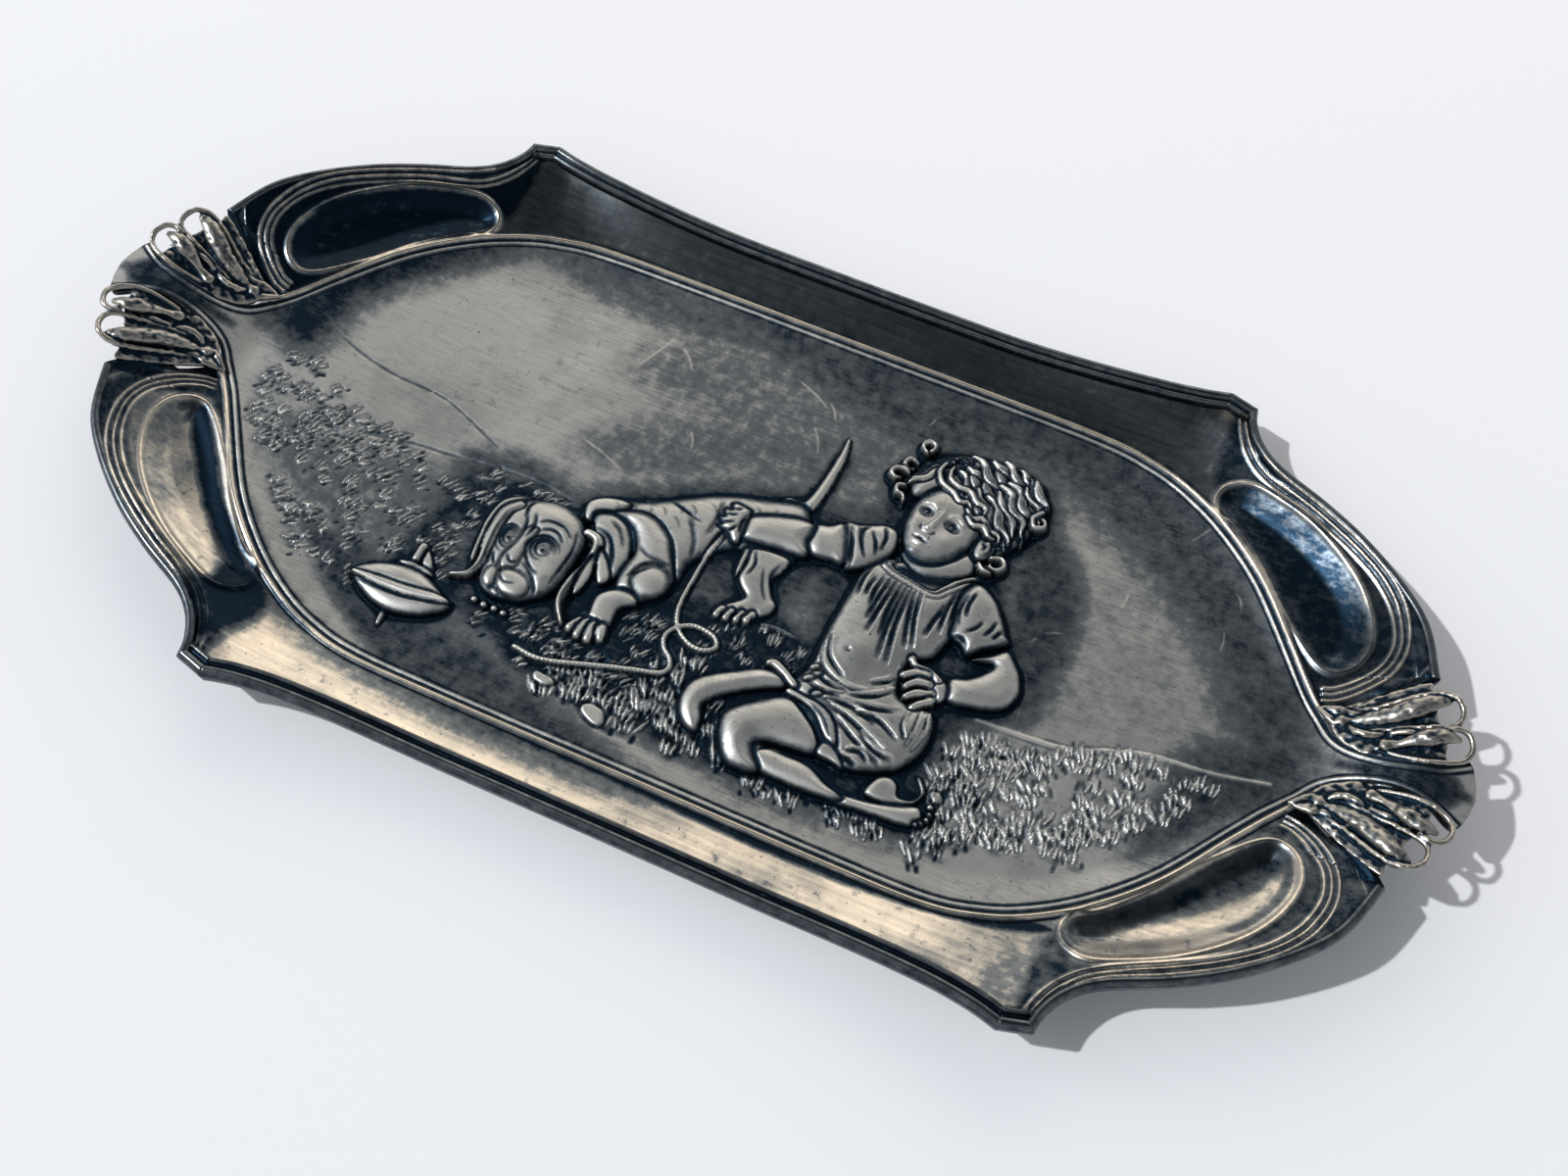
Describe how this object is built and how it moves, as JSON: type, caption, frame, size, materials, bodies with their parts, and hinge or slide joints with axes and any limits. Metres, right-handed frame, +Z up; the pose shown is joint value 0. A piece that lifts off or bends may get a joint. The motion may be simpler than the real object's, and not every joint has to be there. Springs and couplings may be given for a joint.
{
  "type": "vanity tray",
  "caption": "Low oblong vanity tray with a sunk well, lobed corners, openwork blossom ends and small feet, for holding toiletries.",
  "frame": {"origin": "on the surface the feet stand on, under the centre of the tray", "axes": "+X along the tray's length, +Y towards the far long side, +Z up out of the well"},
  "size_m": [0.3048, 0.1532, 0.0183],
  "materials": {
    "plated_pan": "oxidised silver plate, rubbed bright on the high places",
    "edge_moulding": "oxidised silver plate, polished ridges and dark grooves",
    "blossom_casting": "cast, plated and oxidised, rubbed bright on the petals",
    "foot_casting": "cast, plated, dull"
  },
  "bodies": {
    "root": {"tray_pan": "plated_pan", "edge_moulding_far": "edge_moulding", "edge_moulding_near": "edge_moulding", "edge_moulding_lobe_1": "edge_moulding", "edge_moulding_lobe_2": "edge_moulding", "edge_moulding_lobe_3": "edge_moulding", "edge_moulding_lobe_4": "edge_moulding", "ear_tip_1": "edge_moulding", "ear_tip_2": "edge_moulding", "ear_tip_3": "edge_moulding", "ear_tip_4": "edge_moulding", "blossom_mount_1": "blossom_casting", "blossom_mount_2": "blossom_casting", "blossom_mount_3": "blossom_casting", "blossom_mount_4": "blossom_casting", "foot_1": "foot_casting", "foot_2": "foot_casting", "foot_3": "foot_casting", "foot_4": "foot_casting"}
  },
  "joints": []
}
